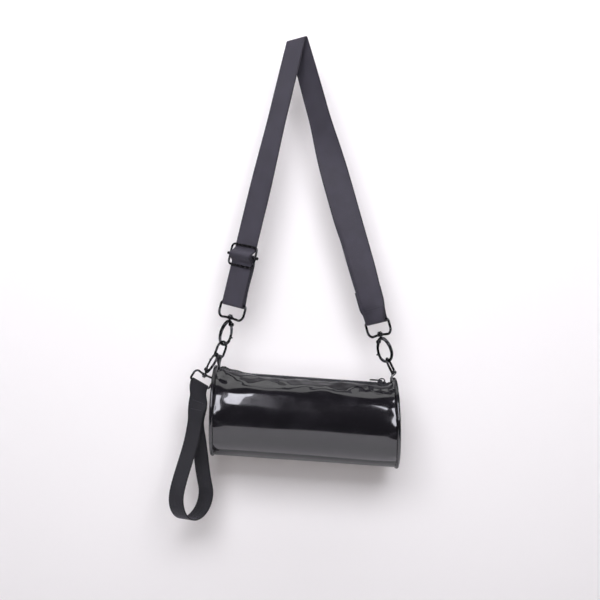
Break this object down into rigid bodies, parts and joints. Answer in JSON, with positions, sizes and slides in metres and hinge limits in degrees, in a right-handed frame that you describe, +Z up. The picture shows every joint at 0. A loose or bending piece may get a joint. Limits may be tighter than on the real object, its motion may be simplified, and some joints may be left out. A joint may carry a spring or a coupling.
{
  "type": "barrel bag with shoulder strap",
  "caption": "Small barrel-shaped handbag of glossy black vinyl with piped round ends, a zip along the top, a webbing shoulder strap on swivel clasps and a wrist strap.",
  "frame": {"origin": "top of the shoulder strap, on the axis of the thin thing that it hangs over", "axes": "+X to the right along the bag, +Y to the back, +Z up"},
  "size_m": [0.2419, 0.097, 0.5126],
  "materials": {
    "webbing": "woven, matt",
    "wrist_webbing": "woven, matt",
    "gunmetal": "dark plated, polished",
    "vinyl": "glossy",
    "zip_tape": "woven, matt",
    "zip_teeth": "satin"
  },
  "bodies": {
    "strap": {"shoulder_strap": "webbing"},
    "adjuster_centre": {"adjuster_bar": "gunmetal"},
    "adjuster_wire": {"adjuster_frame": "gunmetal"},
    "left_loop": {"left_swivel_loop": "gunmetal"},
    "left_clasp": {"left_clasp_hook": "gunmetal", "left_gate_pin": "gunmetal"},
    "left_gate": {"left_clasp_gate": "gunmetal"},
    "right_loop": {"right_swivel_loop": "gunmetal"},
    "right_clasp": {"right_clasp_hook": "gunmetal", "right_gate_pin": "gunmetal"},
    "right_gate": {"right_clasp_gate": "gunmetal"},
    "bag": {"body_panel": "vinyl", "end_panel_left": "vinyl", "end_panel_right": "vinyl", "piping_left": "vinyl", "piping_right": "vinyl", "seam_binding_left": "zip_tape", "seam_binding_right": "zip_tape", "zip_tape_front": "zip_tape", "zip_tape_back": "zip_tape", "zip_teeth_front": "zip_teeth", "zip_teeth_back": "zip_teeth", "zip_stop_front": "gunmetal", "zip_stop_back": "gunmetal", "zip_stop_end": "gunmetal", "side_tab_left": "vinyl", "side_tab_right": "vinyl"},
    "slider": {"zip_slider": "gunmetal"},
    "pull": {"zip_pull": "gunmetal"},
    "left_ring": {"ring_left": "gunmetal"},
    "right_ring": {"ring_right": "gunmetal"},
    "wrist_clasp": {"wrist_clasp_hook": "gunmetal", "wrist_gate_pin": "gunmetal"},
    "wrist_gate": {"wrist_clasp_gate": "gunmetal"},
    "wrist_loop": {"wrist_swivel_loop": "gunmetal"},
    "wrist_band": {"wrist_strap": "wrist_webbing"}
  },
  "joints": [
    {"name": "adjuster_slide", "type": "slide", "parent": "strap", "child": "adjuster_centre", "axis": [0.2334, 0, 0.9724], "range_m": [-0.01, 0.12], "deforming": ["shoulder_strap"]},
    {"name": "adjuster_play", "type": "slide", "parent": "adjuster_centre", "child": "adjuster_wire", "axis": [0.2334, 0, 0.9724], "range_m": [-0.003, 0.003], "deforming": ["shoulder_strap"]},
    {"name": "left_loop_swing", "type": "hinge", "parent": "strap", "child": "left_loop", "pos_m": [-0.0677, 0, -0.28199], "axis": [0.9929, 0, -0.1191], "range_deg": [-30, 30], "deforming": ["shoulder_strap"]},
    {"name": "bag_swing", "type": "hinge", "parent": "left_loop", "child": "bag", "pos_m": [-0.07823, -0.00106, -0.32227], "axis": [0.9946, 0.0044, -0.1039], "range_deg": [-20, 18]},
    {"name": "right_loop_swing", "type": "hinge", "parent": "strap", "child": "right_loop", "pos_m": [0.08498, 0, -0.30031], "axis": [0.9929, 0, -0.1191], "range_deg": [-30, 30], "deforming": ["shoulder_strap"]},
    {"name": "left_swivel", "type": "hinge", "parent": "left_loop", "child": "left_clasp", "pos_m": [-0.0677, 0, -0.28199], "axis": [0.253, 0.0255, 0.9671], "range_deg": [-20, 20]},
    {"name": "left_gate_hinge", "type": "hinge", "parent": "left_clasp", "child": "left_gate", "pos_m": [-0.0702, -0.00303, -0.3039], "axis": [0.5958, 0.7835, -0.1765], "range_deg": [0, 18], "stiffness_Nm_per_rad": 0.002, "springref_deg": -11.46},
    {"name": "right_swivel", "type": "hinge", "parent": "right_loop", "child": "right_clasp", "pos_m": [0.08498, 0, -0.30031], "axis": [-0.2644, 0.0069, 0.9644], "range_deg": [-5, 20]},
    {"name": "right_gate_hinge", "type": "hinge", "parent": "right_clasp", "child": "right_gate", "pos_m": [0.08732, 0.00159, -0.32239], "axis": [-0.424, -0.899, -0.1098], "range_deg": [0, 18], "stiffness_Nm_per_rad": 0.002, "springref_deg": -11.46},
    {"name": "left_ring_hinge", "type": "hinge", "parent": "bag", "child": "left_ring", "pos_m": [-0.08405, -0.00106, -0.33824], "axis": [0.5165, 0.8354, -0.188], "range_deg": [0, 3]},
    {"name": "right_ring_hinge", "type": "hinge", "parent": "bag", "child": "right_ring", "pos_m": [0.10344, -0.00029, -0.35575], "axis": [0.2243, 0.9684, 0.1094], "range_deg": [0, 3]},
    {"name": "wrist_clasp_swing", "type": "hinge", "parent": "left_ring", "child": "wrist_clasp", "pos_m": [-0.08653, -0.00507, -0.33734], "axis": [0.5165, 0.8354, -0.188], "range_deg": [0, 50]},
    {"name": "wrist_gate_hinge", "type": "hinge", "parent": "wrist_clasp", "child": "wrist_gate", "pos_m": [-0.09664, -0.00462, -0.3517], "axis": [0.6819, 0.5668, -0.4624], "range_deg": [0, 16], "stiffness_Nm_per_rad": 0.002, "springref_deg": -11.46},
    {"name": "wrist_swivel", "type": "hinge", "parent": "wrist_clasp", "child": "wrist_loop", "pos_m": [-0.1034, -0.00845, -0.36637], "axis": [-0.5001, -0.1, -0.8602], "range_deg": [-30, 30]},
    {"name": "wrist_strap_swing", "type": "hinge", "parent": "wrist_loop", "child": "wrist_band", "pos_m": [-0.1034, -0.00845, -0.36637], "axis": [0.7673, 0.4093, -0.4937], "range_deg": [-6, 30]},
    {"name": "zip_slide", "type": "slide", "parent": "bag", "child": "slider", "axis": [0.9976, 0, -0.0698], "range_m": [-0.15, 0], "deforming": ["zip_teeth_front", "zip_teeth_back"]},
    {"name": "zip_pull_hinge", "type": "hinge", "parent": "slider", "child": "pull", "pos_m": [0.09078, 0, -0.36391], "axis": [0, 1, 0], "range_deg": [0, 120]}
  ],
  "couplings": [
    {"joint": "right_loop_swing", "follows": "left_loop_swing", "ratio": 1}
  ]
}
